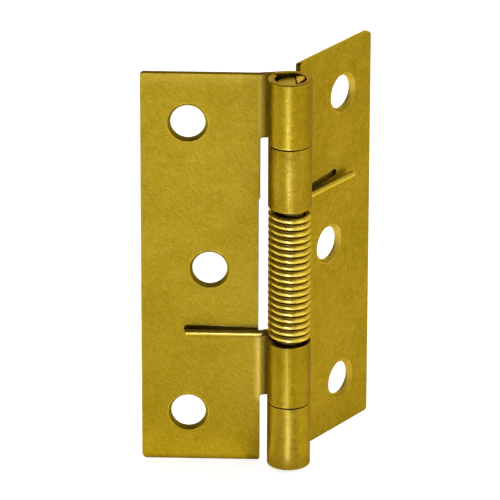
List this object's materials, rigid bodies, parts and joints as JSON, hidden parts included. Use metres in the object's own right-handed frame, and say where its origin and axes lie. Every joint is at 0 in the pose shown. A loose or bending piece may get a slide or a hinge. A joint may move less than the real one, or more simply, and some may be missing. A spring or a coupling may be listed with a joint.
{
  "type": "spring loaded door hinge",
  "caption": "Folded sheet leaves with countersunk screw holes, on a pin wound with a torsion spring that swings the leaves back past flat.",
  "frame": {"origin": "on the pin axis, at mid height of the frame leaf", "axes": "+Z along the pin, upwards; the frame leaf lies along -X with its countersunk face towards -Y and its back towards +Y; the door leaf stands at 54.9 degrees from +X towards +Y"},
  "size_m": [0.0377, 0.0254, 0.0705],
  "materials": {
    "leaf_steel": "steel sheet with a brassy yellow plating, satin with fine mottling",
    "pin_steel": "plated steel rod, satin, with pinched-off ends",
    "spring_wire": "plated drawn spring wire, smooth and fairly bright"
  },
  "bodies": {
    "frame": {"frame_leaf": "leaf_steel", "hinge_pin": "pin_steel", "torsion_spring": "spring_wire"},
    "door": {"door_leaf": "leaf_steel"}
  },
  "joints": [
    {"name": "door_leaf_swing", "type": "hinge", "parent": "frame", "child": "door", "pos_m": [0, 0, 0], "axis": [0, 0, 1], "range_deg": [-234.9, 65], "stiffness_Nm_per_rad": 0.0395, "deforming": ["torsion_spring"]}
  ]
}
